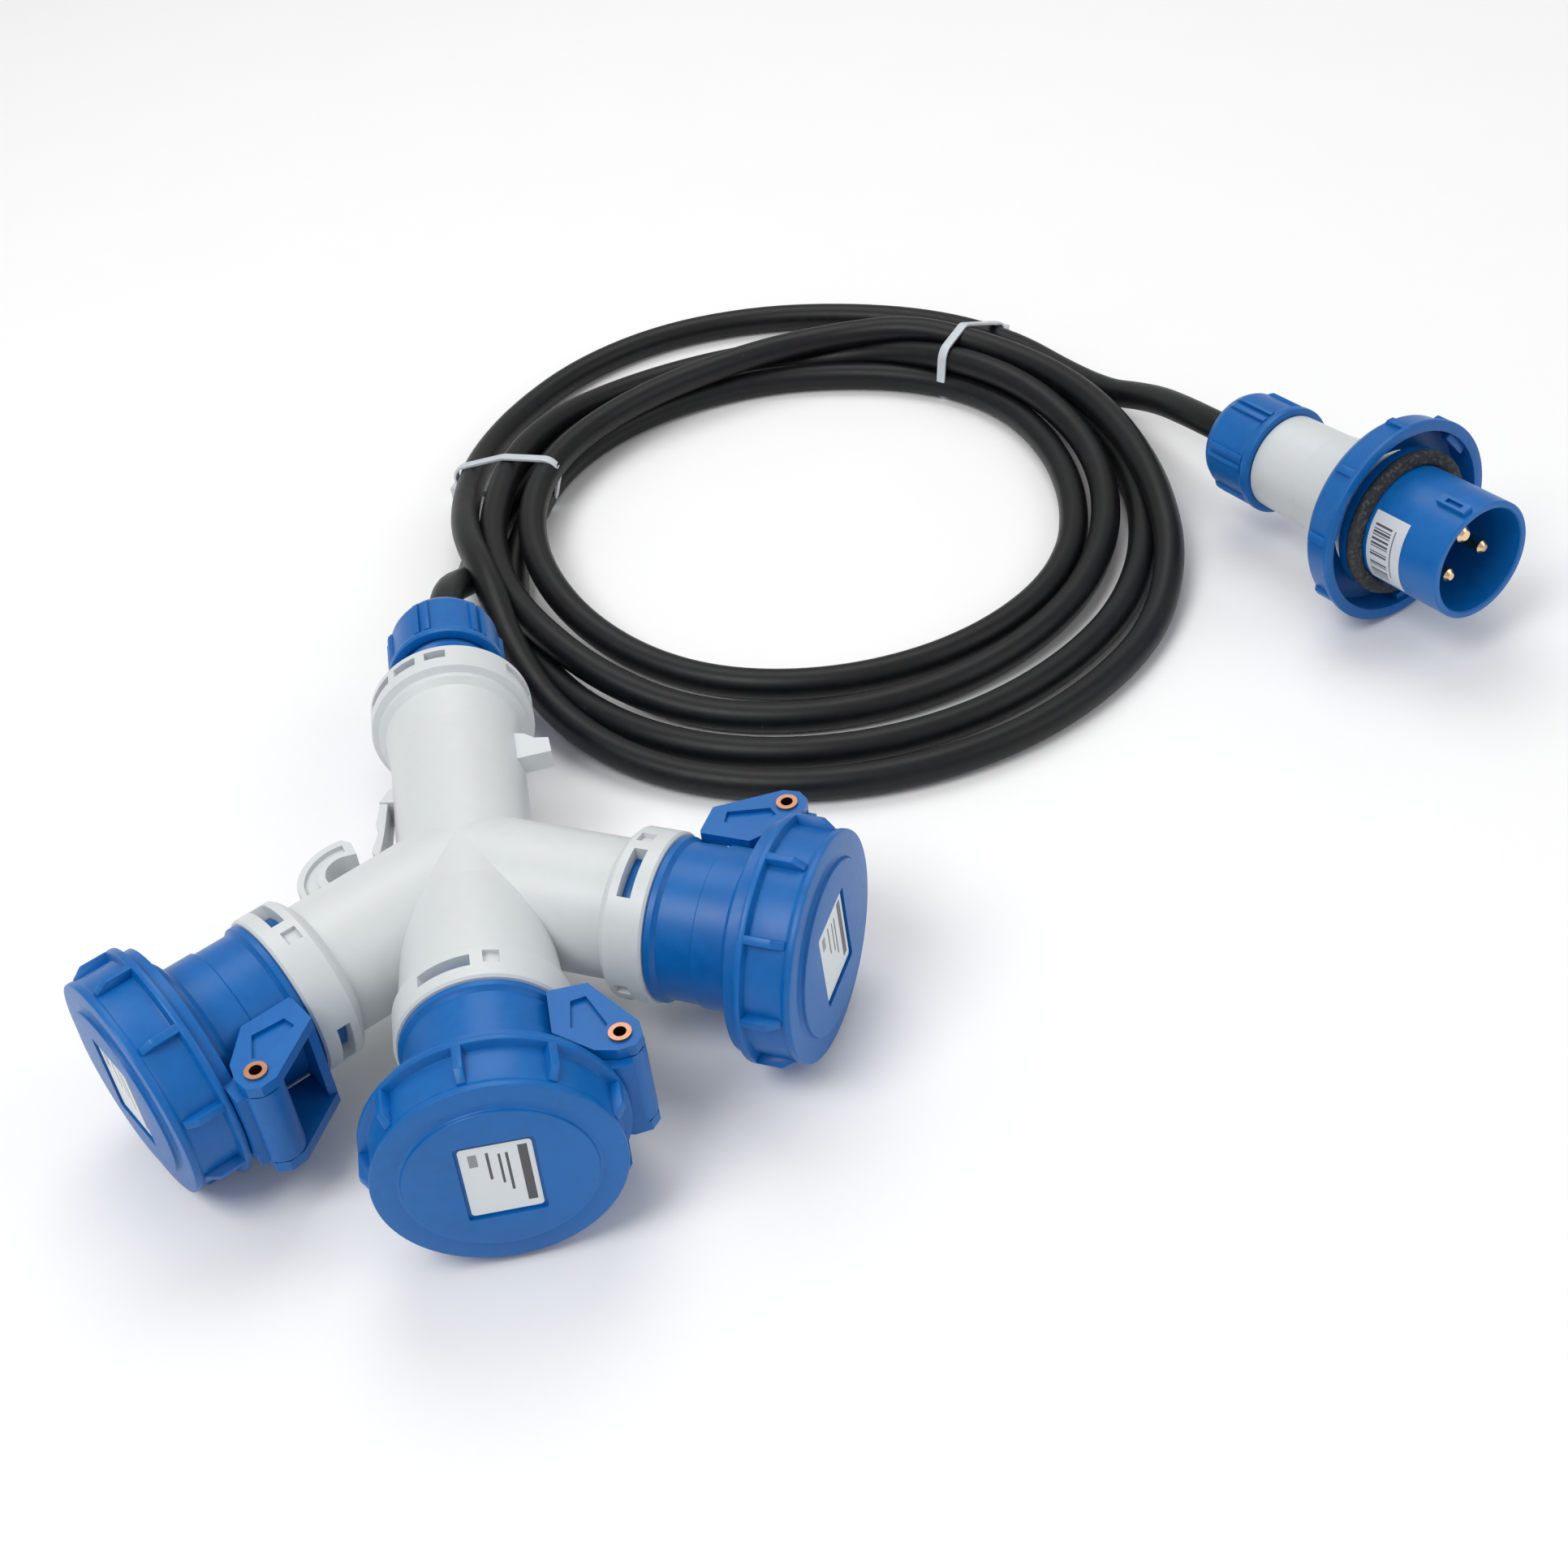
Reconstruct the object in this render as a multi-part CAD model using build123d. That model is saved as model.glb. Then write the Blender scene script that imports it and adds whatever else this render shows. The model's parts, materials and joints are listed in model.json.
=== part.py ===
from build123d import *
import math
import os

# Three-way power splitter: a grey four-armed hub with three capped blue sockets, and a lead with
# a bayonet plug. Millimetres, +Z up, the origin under the middle of the hub on the floor.

# ---- driving dimensions ----
SHROUD_R = 22.0             # plug shroud, outside, 16 A three-pole
SHROUD_WALL = 2.6
SHROUD_DEPTH = 35.0         # shroud mouth to contact face
CABLE_R = 5.75              # rubber lead
FLANGE_R = 38.1             # back flange of the caps, what the hub stands on
DISC_R = 35.5               # front disc of the caps
KNOB_R = 27.2
TUBE_R = 22.1               # hub tubes, outside
WALL = 2.5
COLLAR_R, SPIGOT_R = 26.8, 22.4
ARM_TURN = 60.0             # side arms, from the front one

# stations along an outlet arm, from the crossing of the arm axes
COLLAR_BACK, COLLAR_FRONT = 57.0, 70.0
RIM_R, RIM_FRONT = 25.6, 73.0
BODY_R, BODY_STEP = 24.3, 85.0
MOUTH_R, MOUTH_BACK, MOUTH_FRONT = 28.5, 97.0, 114.0
CAVITY_R, CAVITY_BACK = 22.6, 77.0
FLANGE_BACK, FLANGE_FRONT = 103.5, 105.8
DISC_BACK, DISC_FRONT = 118.0, 120.4
KNOB_FRONT = 122.0
CAP_FACE, CAP_WALL_R = 116.5, 35.0
PIN_STATION, PIN_OFFSET = 94.6, 39.0

# stations along the inlet arm
STEP_START, INLET_COLLAR_BACK, INLET_COLLAR_FRONT = 73.0, 78.0, 90.0
INLET_COLLAR_R, STEP_R = 27.7, 25.4
LEAD_START = 97.0
NECK_SEAT_R, NECK_BORE_R, NECK_FRONT = 23.0, 8.0, 120.0
THREAD_R, SEAL_R = 17.4, 12.0
NUT_BACK, NUT_FRONT = 107.5, 134.5
NUT_R, NUT_LIP_R = 19.2, 20.9

# place of the crossing of the axes in the part's frame
AXIS_HEIGHT = FLANGE_R
CENTRE_Y = (KNOB_FRONT - NUT_FRONT) / 2
CROSSING = Vector(0, CENTRE_Y, AXIS_HEIGHT)

# sockets and plugs
PIN_CIRCLE = 9.5
PHASE_R, EARTH_R = 2.5, 3.0
CONTACT_ANGLES = {"earth": 270, "line": 30, "neutral": 150}
CARRIER_R = 18.4
SCREW_R, SCREW_STATION = 1.6, 70.5
WIRE_R = 1.3
CONTACT_BACK = 68.0
WIRE_LEVELS = {"line": 4.6, "neutral": 0.0, "earth": -4.6}

# hinge
HINGE_R = 6.3
RIVET_R, RIVET_HEAD_R, RIVET_BORE_R = 2.5, 3.35, 1.9
PLATE_IN, PLATE_OUT = 14.2, 18.0
CARRIER_IN, CARRIER_NECK, CARRIER_OUT = 31.8, 33.2, 35.4
CAP_IN = 33.6
RUNNING = 0.05
KNUCKLE_HALF, SPRING_HALF, SPRING_ROOM = 13.8, 4.5, 4.6
POCKET_DEPTH = 1.4

# label recess in each cap's knob
LABEL_W, LABEL_H, LABEL_DEPTH = 21.0, 29.0, 0.9
LABEL_TURN = {"front": -2.0, "right": 4.0, "left": -1.0}

# hanging hook beside the left arm
HOOK_HALF, POCKET = 5.5, 1.6
TAB_HALF, TAB_RISE = 3.5, 4.5

# plug: mouth place from the crossing, heading and pitch
PLUG_MOUTH = (359.5, 57.4, 3.2)
PLUG_HEADING, PLUG_PITCH = -67.9, 3.5
PIN_STEP = 0.4
RING_R, RING_IN, RING_FRONT, RING_BACK = 38.4, 34.2, 35.8, 49.0
PLUG_NUT_FRONT, PLUG_NUT_BACK = 97.0, 124.0
PLUG_BODY_R, PLUG_TAIL_R = 21.6, 18.2
PIN_TIP = -7.0
PLUG_TURN, PLUG_KEY_ANGLE, PLUG_LABEL_ANGLE = -163.0, 107.0, 140.0

# coil of the lead, from the crossing
COIL_X, COIL_Y = 150.0, 215.0
COIL_RX, COIL_RY = 141.0, 177.0
COIL_INSIDE = (98, 103, 105, 105, 105, 108, 107, 106, 106, 106, 104, 101)
COIL_HEIGHT, COIL_CHAMFER = 24.5, 4.0
TIE_WIDTH, TIE_THICK = 4.8, 1.4


def place(x, y, z=0.0):
    return Vector(x, y, z) + CROSSING


# ---- frames: local Z runs out along the arm, local Y is up ----
def arm_frame(turn):
    a = math.radians(turn)
    return Plane(CROSSING, x_dir=(math.cos(a), math.sin(a), 0), z_dir=(math.sin(a), -math.cos(a), 0))


INLET = Plane(CROSSING, x_dir=(-1, 0, 0), z_dir=(0, 1, 0))
ARMS = {"front": 0.0, "right": ARM_TURN, "left": -ARM_TURN}


def plug_frame():
    h, p = math.radians(PLUG_HEADING), math.radians(PLUG_PITCH)
    out = Vector(math.cos(h) * math.cos(p), math.sin(h) * math.cos(p), math.sin(p))
    across = Vector(-math.sin(h), math.cos(h), 0)
    return Plane(place(*PLUG_MOUTH), x_dir=across, z_dir=out)


PLUG = plug_frame()


# ---- small shapes ----
def turned(points):
    """A turned piece: the closed outline of (radius, station) points, spun about local Z."""
    face = make_face(Polyline(*points, close=True))
    return revolve(Plane.XZ * face, Axis.Z)


def upright(outline, half):
    """The closed plan outline, measured from the crossing, made `half` thick up and down."""
    face = make_face(Polyline(*outline, close=True))
    return Location(CROSSING) * Pos(0, 0, -half) * extrude(face, 2 * half)


def tube(r_out, r_in, z0, z1):
    return turned([(r_in, z0), (r_out, z0), (r_out, z1), (r_in, z1)])


def rod(r, z0, z1):
    return Pos(0, 0, (z0 + z1) / 2) * Cylinder(r, z1 - z0)


def block(x0, x1, y0, y1, z0, z1):
    return Pos((x0 + x1) / 2, (y0 + y1) / 2, (z0 + z1) / 2) * Box(x1 - x0, y1 - y0, z1 - z0)


def sector(r_in, r_out, a0, a1, z0, z1):
    """Part of a ring between two angles, in degrees from local X towards local Y."""
    reach = r_out * 1.6
    step = (a1 - a0) / 4
    fan = [(0, 0)]
    for k in range(5):
        a = math.radians(a0 + k * step)
        fan.append((reach * math.cos(a), reach * math.sin(a)))
    wedge = Pos(0, 0, z0) * extrude(make_face(Polyline(*fan, close=True)), z1 - z0)
    return tube(r_out, r_in, z0, z1) & wedge


def around(count, shape, first=0.0):
    return [Rot(0, 0, first + k * 360 / count) * shape for k in range(count)]


def bar(p, q, r):
    """A straight round bar between two points."""
    p, q = Vector(*p), Vector(*q)
    return Plane(p, z_dir=q - p) * rod(r, 0, (q - p).length)


# ---- hub ----
def hub_outside():
    shape = Location(CROSSING) * Sphere(TUBE_R)
    for name, turn in ARMS.items():
        arm = rod(TUBE_R, 0, COLLAR_BACK + 1)
        arm += turned([(0, COLLAR_BACK - 2.6), (TUBE_R, COLLAR_BACK - 2.6),
                       (COLLAR_R - 1.3, COLLAR_BACK - 0.4),
                       (COLLAR_R, COLLAR_BACK + 1), (COLLAR_R, COLLAR_FRONT - 0.7),
                       (COLLAR_R - 0.7, COLLAR_FRONT), (0, COLLAR_FRONT)])
        if name == "front":
            arm += turned([(0, 20), (TUBE_R, 20), (COLLAR_R - 1.6, COLLAR_BACK), (0, COLLAR_BACK)])
        shape += arm_frame(turn).location * arm
    inlet = turned([(0, 0), (TUBE_R, 0), (TUBE_R, STEP_START - 14), (TUBE_R + 1.2, STEP_START),
                    (STEP_R, STEP_START + 2), (STEP_R, INLET_COLLAR_BACK - 1),
                    (INLET_COLLAR_R, INLET_COLLAR_BACK),
                    (INLET_COLLAR_R, INLET_COLLAR_FRONT - 0.8), (INLET_COLLAR_R - 0.8, INLET_COLLAR_FRONT),
                    (0, INLET_COLLAR_FRONT)])
    return shape + INLET.location * inlet


def hook_outline():
    """The hanging hook seen from above: a C from the left arm towards the inlet arm."""
    outer = [Line((-49, -6), (-53.4, 6)), ThreePointArc((-53.4, 6), (-49.8, 18.2), (-39, 25.4)),
             Line((-39, 25.4), (-35.9, 23.2)), Line((-35.9, 23.2), (-34.3, 17.4))]
    inner = [Line((-34.3, 17.4), (-38.6, 17.2)), ThreePointArc((-38.6, 17.2), (-44.4, 9.5), (-39.5, 3)),
             Line((-39.5, 3), (-30, 0)), Line((-30, 0), (-49, -6))]
    return make_face(outer + inner)


def hook_pocket():
    """The groove in the hook's flat faces, which leaves a rim all round."""
    outer = [Line((-49, -3), (-51.2, 6.2)), ThreePointArc((-51.2, 6.2), (-48.2, 16.6), (-38.8, 22.8)),
             Line((-38.8, 22.8), (-37.8, 19.6))]
    inner = [Line((-37.8, 19.6), (-39.4, 19.4)), ThreePointArc((-39.4, 19.4), (-46.8, 9.5), (-43.4, 1.2)),
             Line((-43.4, 1.2), (-49, -3))]
    return make_face(outer + inner)


def hook():
    shape = Pos(0, 0, -HOOK_HALF) * extrude(hook_outline(), 2 * HOOK_HALF)
    for z in (HOOK_HALF - POCKET, -HOOK_HALF):
        shape -= Pos(0, 0, z) * extrude(hook_pocket(), POCKET)
    return Location(CROSSING) * shape


def tab():
    outline = [(20, 46.2), (32, 46.8), (31.8, 54.2), (27, 55.4), (24, 58.6), (20, 60)]
    return Pos(0, 0, TAB_RISE) * upright(outline, TAB_HALF)


def gate_root():
    """Solid heel on the inlet tube that the hook's gate is moulded to."""
    outline = [(-20, 46.5), (-22.8, 46), (-26.1, 40.3), (-23.3, 39.6), (-20, 38.8)]
    return upright(outline, HOOK_HALF)


def hub_body():
    shape = hub_outside() + hook() + tab() + gate_root()
    bore = TUBE_R - WALL
    shape -= Location(CROSSING) * Sphere(bore)
    for turn in ARMS.values():
        inside = rod(bore, 0, COLLAR_FRONT) + rod(SPIGOT_R, COLLAR_BACK + 1, COLLAR_FRONT)
        shape -= arm_frame(turn).location * inside
        for k in range(3):
            shift = k * 120
            cut = sector(SPIGOT_R - 1, COLLAR_R + 2, shift + 88.5, shift + 125, COLLAR_BACK + 3.6,
                         COLLAR_BACK + 8)
            dent = sector(COLLAR_R - 1.6, COLLAR_R + 2, shift + 70, shift + 80.5, COLLAR_BACK + 2.6,
                          COLLAR_BACK + 7.4)
            shape -= arm_frame(turn).location * (cut + dent)
    shape -= INLET.location * rod(bore, 0, INLET_COLLAR_FRONT)
    shape -= INLET.location * rod(NECK_SEAT_R, INLET_COLLAR_BACK, INLET_COLLAR_FRONT)
    for a0, a1 in ((22, 50), (56, 74), (81, 96)):
        shape -= INLET.location * sector(NECK_SEAT_R - 1, INLET_COLLAR_R + 2, a0, a1, 83, 87)
    shape -= INLET.location * sector(INLET_COLLAR_R - 1.2, INLET_COLLAR_R + 2, 142, 176, 81.5, 87)
    return shape


def hook_gate():
    """The springy tongue that closes the hook, bending at its heel beside the inlet tube."""
    outline = [(-25.8, 39.6), (-27.6, 29.6), (-26.8, 26), (-29.3, 17), (-28.2, 14.6), (-26.6, 16),
               (-25.4, 22.6),
               (-24.6, 28), (-23.4, 38.9)]
    return upright(outline, HOOK_HALF)


# ---- inlet gland ----
def inlet_neck():
    """Blue sleeve held in the inlet collar, with the thread that carries the gland nut."""
    outline = [(NECK_BORE_R, INLET_COLLAR_BACK), (NECK_SEAT_R, INLET_COLLAR_BACK),
               (NECK_SEAT_R, INLET_COLLAR_FRONT + 2.4), (THREAD_R + 0.6, INLET_COLLAR_FRONT + 4)]
    z = INLET_COLLAR_FRONT + 6
    while z < NECK_FRONT - 2:
        outline += [(THREAD_R - 0.9, z), (THREAD_R, z + 1.2), (THREAD_R, z + 1.8)]
        z += 3
    outline += [(THREAD_R - 0.9, NECK_FRONT), (NECK_BORE_R, NECK_FRONT)]
    return turned(outline)


def gland_nut(z_back, length):
    """Ribbed gland nut, with its lip at z_back and its rounded end towards the cable's way out."""
    z_front = z_back + length
    shape = turned([(THREAD_R + 0.15, z_back), (NUT_LIP_R - 0.6, z_back), (NUT_LIP_R, z_back + 0.6),
                    (NUT_LIP_R, z_back + 2.6), (NUT_R + 0.3, z_back + 4), (NUT_R, z_back + 5),
                    (NUT_R, z_front - 3.4),
                    (NUT_R - 1, z_front - 1), (NUT_R - 3.4, z_front), (CABLE_R + 1.6, z_front),
                    (CABLE_R + 0.6, z_front - 2.2), (CABLE_R + 0.6, z_front - 4.5),
                    (SEAL_R + 0.1, z_front - 8),
                    (SEAL_R + 0.1, z_front - 12), (THREAD_R + 0.15, z_front - 12)])
    rib = block(NUT_R - 0.6, NUT_R + 1.1, -0.9, 0.9, z_back + 4.2, z_front - 5)
    for first in (-5.5, 5.5):
        shape += around(6, rib, first + 15)
    return shape


def gland_seal(z_back, length):
    return turned([(CABLE_R + 0.02, z_back), (SEAL_R - 1.6, z_back), (SEAL_R, z_back + 1.6),
                   (SEAL_R, z_back + length - 2), (CABLE_R + 2, z_back + length),
                   (CABLE_R + 0.02, z_back + length)])


# ---- outlet sockets ----
def socket_body():
    shape = turned([(SPIGOT_R - 2, COLLAR_BACK + 1.2), (SPIGOT_R, COLLAR_BACK + 1.2),
                    (SPIGOT_R, COLLAR_FRONT), (RIM_R - 0.5, COLLAR_FRONT), (RIM_R, COLLAR_FRONT + 0.6),
                    (RIM_R, RIM_FRONT - 0.6), (RIM_R - 0.6, RIM_FRONT), (BODY_R, RIM_FRONT + 0.8),
                    (BODY_R, BODY_STEP), (BODY_R + 0.7, BODY_STEP + 0.5), (BODY_R + 0.7, MOUTH_BACK - 2),
                    (MOUTH_R, MOUTH_BACK), (MOUTH_R, MOUTH_FRONT - 0.8), (MOUTH_R - 0.8, MOUTH_FRONT),
                    (CAVITY_R + 0.6, MOUTH_FRONT), (CAVITY_R, MOUTH_FRONT - 0.6), (CAVITY_R, CAVITY_BACK),
                    (CARRIER_R, CAVITY_BACK), (CARRIER_R, CAVITY_BACK - 3), (SPIGOT_R - 2, CAVITY_BACK - 3)])
    lug = sector(MOUTH_R - 0.5, MOUTH_R + 1.7, -14, 14, MOUTH_FRONT - 6, MOUTH_FRONT - 3)
    shape += around(3, lug, 90)
    shape += bracket()
    keyway = block(-2.2, 2.2, -CAVITY_R - 2.2, -CAVITY_R + 2, CAVITY_BACK + 3, MOUTH_FRONT + 1)
    return shape - keyway


def bracket():
    """Two plates and a back wall that carry the hinge pin beside the socket."""
    edge = [(BODY_R - 4, RIM_FRONT), (32.2, RIM_FRONT - 0.4), (44.8, PIN_STATION - 3.2),
            (45.2, PIN_STATION + 2),
            (42.6, PIN_STATION + 5.4), (37.4, PIN_STATION + 6), (31.2, PIN_STATION + 4.2),
            (BODY_R - 4, MOUTH_BACK - 8)]
    pocket = [(26.6, RIM_FRONT + 5.4), (31.2, RIM_FRONT + 4.6), (36, PIN_STATION - 4.4),
              (33.6, PIN_STATION - 1.6),
              (25.6, PIN_STATION - 6)]
    plate = Rot(90, 0, 0) * extrude(make_face(Polyline(*edge, close=True)), PLATE_OUT - PLATE_IN)
    dip = Rot(90, 0, 0) * extrude(make_face(Polyline(*pocket, close=True)), POCKET_DEPTH)
    top = Pos(0, PLATE_OUT, 0) * (plate - dip)
    bottom = Pos(0, -PLATE_IN, 0) * plate - Pos(0, -PLATE_OUT + POCKET_DEPTH, 0) * dip
    wall = block(BODY_R - 3, 32.2, -PLATE_OUT, PLATE_OUT, RIM_FRONT - 0.4, RIM_FRONT + 2.4)
    shape = top + bottom + wall - hinge_line(RIVET_R, -PLATE_OUT - 1, PLATE_OUT + 1)
    return shape - rod(BODY_R - 1.4, COLLAR_BACK, MOUTH_FRONT)


def hinge_line(r, low, high):
    """A round bar along the hinge axis, which stands upright beside the arm."""
    return Pos(PIN_OFFSET, 0, PIN_STATION) * Rot(-90, 0, 0) * rod(r, low, high)


def hinge_pin():
    shape = hinge_line(RIVET_R, -PLATE_OUT - 0.3, PLATE_OUT + 0.3)
    for low in (-PLATE_OUT - 0.9, PLATE_OUT):
        shape += hinge_line(RIVET_HEAD_R, low, low + 0.9)
    return shape - hinge_line(RIVET_BORE_R, -PLATE_OUT - 2, PLATE_OUT + 2)


def hinge_spring():
    """Torsion spring round the pin, in the hollow middle of the cap carrier's knuckle."""
    wire = 0.55
    path = Helix(1.25, 7.0, 3.7)
    coil = sweep(Plane(path @ 0, z_dir=path % 0) * Circle(wire), path=path, is_frenet=True)
    return Pos(PIN_OFFSET, 0, PIN_STATION) * Rot(-90, 0, 0) * Pos(0, 0, -3.5) * coil


def contact_carrier():
    shape = turned([(0, 66), (CARRIER_R - 0.6, 66), (CARRIER_R, 66.6), (CARRIER_R, MOUTH_FRONT - 1.8),
                    (CARRIER_R - 0.8, MOUTH_FRONT - 1), (0, MOUTH_FRONT - 1)])
    for name, angle in CONTACT_ANGLES.items():
        r = contact_r(name)
        hole = rod(r + 1.0, 66, MOUTH_FRONT - 4) + rod(r + 0.4, 66, MOUTH_FRONT)
        shape -= Rot(0, 0, angle) * Pos(PIN_CIRCLE, 0, 0) * hole
        hole = Rot(0, 90, 0) * rod(SCREW_R, PIN_CIRCLE, CARRIER_R + 1)
        shape -= Rot(0, 0, angle) * Pos(0, 0, SCREW_STATION) * hole
    return shape


def contact_r(name):
    return EARTH_R if name == "earth" else PHASE_R


def contacts():
    group = []
    for name, angle in CONTACT_ANGLES.items():
        r = contact_r(name)
        sleeve = rod(r + 1.0, CONTACT_BACK, MOUTH_FRONT - 4) - rod(r + 0.1, 84, MOUTH_FRONT)
        slit = block(-0.35, 0.35, -r - 2, r + 2, 90, MOUTH_FRONT)
        group.append(Rot(0, 0, angle) * Pos(PIN_CIRCLE, 0, 0) * (sleeve - slit))
    return group


def terminal_screws():
    group = []
    for name, angle in CONTACT_ANGLES.items():
        low, high = PIN_CIRCLE + contact_r(name) + 1.0, CARRIER_R - 0.4
        screw = rod(SCREW_R - 0.05, low, high) - block(-0.35, 0.35, -3, 3, high - 0.8, high + 1)
        group.append(Rot(0, 0, angle) * Pos(0, 0, SCREW_STATION) * Rot(0, 90, 0) * screw)
    return group


def cap_carrier():
    """The hinged ring behind the cap: a knuckle round the pin and its spring, an arm, and a neck
    the cap turns on."""
    shape = turned([(CARRIER_IN, FLANGE_BACK - 3.6), (CARRIER_OUT, FLANGE_BACK - 3.6),
                    (CARRIER_OUT, FLANGE_BACK - 0.3),
                    (CARRIER_NECK, FLANGE_BACK - 0.3), (CARRIER_NECK, FLANGE_BACK + 4.5),
                    (CARRIER_IN, FLANGE_BACK + 4.5)])
    arm = block(CARRIER_IN, PIN_OFFSET + 2, -KNUCKLE_HALF, KNUCKLE_HALF, PIN_STATION + 1.4, FLANGE_BACK - 0.3)
    arm -= rod(CARRIER_IN, 80, 120)
    shape += arm + hinge_line(HINGE_R, -KNUCKLE_HALF, KNUCKLE_HALF)
    shape -= hinge_line(SPRING_ROOM, -SPRING_HALF, SPRING_HALF)
    return shape - hinge_line(RIVET_R + RUNNING, -20, 20)


def ribbed(count, first, r_in, r_out, z_back, z_front, width, slope):
    """Grip ribs round a cap or ring, with their front ends sloped down to r_in."""
    outline = [(r_in - 0.8, z_back), (r_out, z_back), (r_out, z_front - slope), (r_in + 0.3, z_front),
               (r_in - 0.8, z_front)]
    rib = Pos(0, width / 2, 0) * extrude(Plane.XZ * make_face(Polyline(*outline, close=True)), width)
    return around(count, rib, first)


def cap(name):
    shape = turned([(CAP_IN, FLANGE_BACK), (FLANGE_R - 0.5, FLANGE_BACK), (FLANGE_R, FLANGE_BACK + 0.5),
                    (FLANGE_R, FLANGE_FRONT - 0.4), (FLANGE_R - 0.5, FLANGE_FRONT),
                    (CAP_WALL_R, FLANGE_FRONT + 0.6),
                    (CAP_WALL_R, DISC_BACK - 0.5), (DISC_R - 0.3, DISC_BACK), (DISC_R, DISC_BACK + 0.4),
                    (DISC_R, DISC_FRONT - 0.9), (DISC_R - 0.9, DISC_FRONT), (KNOB_R + 0.8, DISC_FRONT),
                    (KNOB_R + 0.2, DISC_FRONT + 0.4), (KNOB_R, KNOB_FRONT - 0.6), (KNOB_R - 0.7, KNOB_FRONT),
                    (0, KNOB_FRONT), (0, CAP_FACE), (CAP_IN, CAP_FACE)])
    shape += ribbed(9, 16, CAP_WALL_R, FLANGE_R, FLANGE_FRONT - 0.5, DISC_BACK - 0.6, 2.7, 4)
    shape += around(3, sector(CARRIER_IN - 0.4, CAP_IN + 0.5, -9, 9, MOUTH_FRONT - 2.4,
                              MOUTH_FRONT - 0.6), 30)
    wide, high = LABEL_W / 2 + 0.6, LABEL_H / 2 + 0.6
    recess = block(-wide, wide, -high, high, KNOB_FRONT - LABEL_DEPTH, KNOB_FRONT + 1)
    return shape - Rot(0, 0, LABEL_TURN[name]) * recess


def cap_gasket():
    return tube(MOUTH_R, CAVITY_R - 1, MOUTH_FRONT + 0.3, CAP_FACE)


def cap_label(name):
    z = KNOB_FRONT - LABEL_DEPTH
    return Rot(0, 0, LABEL_TURN[name]) * block(-LABEL_W / 2, LABEL_W / 2, -LABEL_H / 2, LABEL_H / 2, z,
                                               z + 0.25)


# ---- wiring inside the hub ----
def wires(name):
    """One conductor: from the lead to the splice at the crossing, and on to one contact of each outlet."""
    z = WIRE_LEVELS[name]
    group = [Location(CROSSING) * bar((0, 4, z), (0, LEAD_START - 0.2, z * 0.62), WIRE_R)]
    a = math.radians(CONTACT_ANGLES[name])
    end = (PIN_CIRCLE * math.cos(a), PIN_CIRCLE * math.sin(a), CONTACT_BACK - 0.5)
    for turn in ARMS.values():
        group.append(arm_frame(turn).location * bar((0, z, 4), end, WIRE_R))
    return group


def splice_blocks():
    """Three stacked insulated splices, each with the ends of its four conductors inside."""
    group = []
    for name, z in WIRE_LEVELS.items():
        disc = Location(CROSSING) * rod(9, z - 1.9, z + 1.9)
        for wire in wires(name):
            disc -= wire
        group.append(disc)
    return group


# ---- plug ----
def plug_shroud():
    inner = SHROUD_R - SHROUD_WALL
    back = -SHROUD_DEPTH - 6
    shape = turned([(0, back), (SHROUD_R + 5, back), (SHROUD_R + 5, back + 3), (SHROUD_R, back + 3.4),
                    (SHROUD_R, -0.5), (SHROUD_R - 0.5, 0), (inner + 0.4, 0), (inner, -0.6),
                    (inner, -SHROUD_DEPTH), (0, -SHROUD_DEPTH)])
    key = block(SHROUD_R - 0.6, SHROUD_R + 2, -2, 2, -14, -1.5)
    key -= block(SHROUD_R + 0.6, SHROUD_R + 3, -0.9, 0.9, -11, -4)
    shape += Rot(0, 0, PLUG_KEY_ANGLE) * key
    for name, angle in CONTACT_ANGLES.items():
        neck = rod(contact_r(name) - PIN_STEP, back - 1, 0)
        shape -= Rot(0, 0, angle + PLUG_TURN) * Pos(PIN_CIRCLE, 0, 0) * neck
    return shape


def plug_pins():
    """Pins with a thinner neck where they pass through the shroud's floor."""
    group = []
    for name, angle in CONTACT_ANGLES.items():
        r = contact_r(name)
        tip = PIN_TIP if name != "earth" else PIN_TIP + 2
        foot, step = -SHROUD_DEPTH - 12, -SHROUD_DEPTH + 0.5
        pin = turned([(0, foot), (r - PIN_STEP, foot), (r - PIN_STEP, step), (r, step), (r, tip - 1.2),
                      (r - 1.2, tip), (0, tip)])
        group.append(Rot(0, 0, angle + PLUG_TURN) * Pos(PIN_CIRCLE, 0, 0) * pin)
    return group


def plug_wires():
    """Conductors inside the plug, from the end of the lead to the backs of the pins."""
    group = []
    for name, angle in CONTACT_ANGLES.items():
        a = math.radians(angle + PLUG_TURN)
        start = (2.9 * math.cos(a), 2.9 * math.sin(a), -PLUG_NUT_FRONT + 0.6)
        end = (PIN_CIRCLE * math.cos(a), PIN_CIRCLE * math.sin(a), -SHROUD_DEPTH - 12.4)
        group.append(bar(start, end, WIRE_R))
    return group


def plug_ring():
    shape = turned([(RING_IN - 0.4, -RING_FRONT), (RING_R - 0.6, -RING_FRONT), (RING_R, -RING_FRONT - 0.6),
                    (RING_R, -RING_FRONT - 1.6), (RING_R - 0.5, -RING_FRONT - 2),
                    (RING_R - 1.4, -RING_FRONT - 2.4),
                    (RING_R - 1.8, -RING_BACK + 2.2), (RING_R - 4, -RING_BACK), (SHROUD_R + 1.2, -RING_BACK),
                    (SHROUD_R + 1.2, -RING_BACK + 2.4), (RING_IN, -RING_BACK + 2.4)])
    shape += around(9, block(RING_R - 2.6, RING_R - 0.1, -1.4, 1.4, -RING_BACK + 2.6, -RING_FRONT - 1.2), 10)
    lug = sector(RING_IN - 3, RING_IN + 0.5, -13, 13, -RING_FRONT - 4.6, -RING_FRONT - 1.8)
    return shape + around(3, lug, 40)


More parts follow.
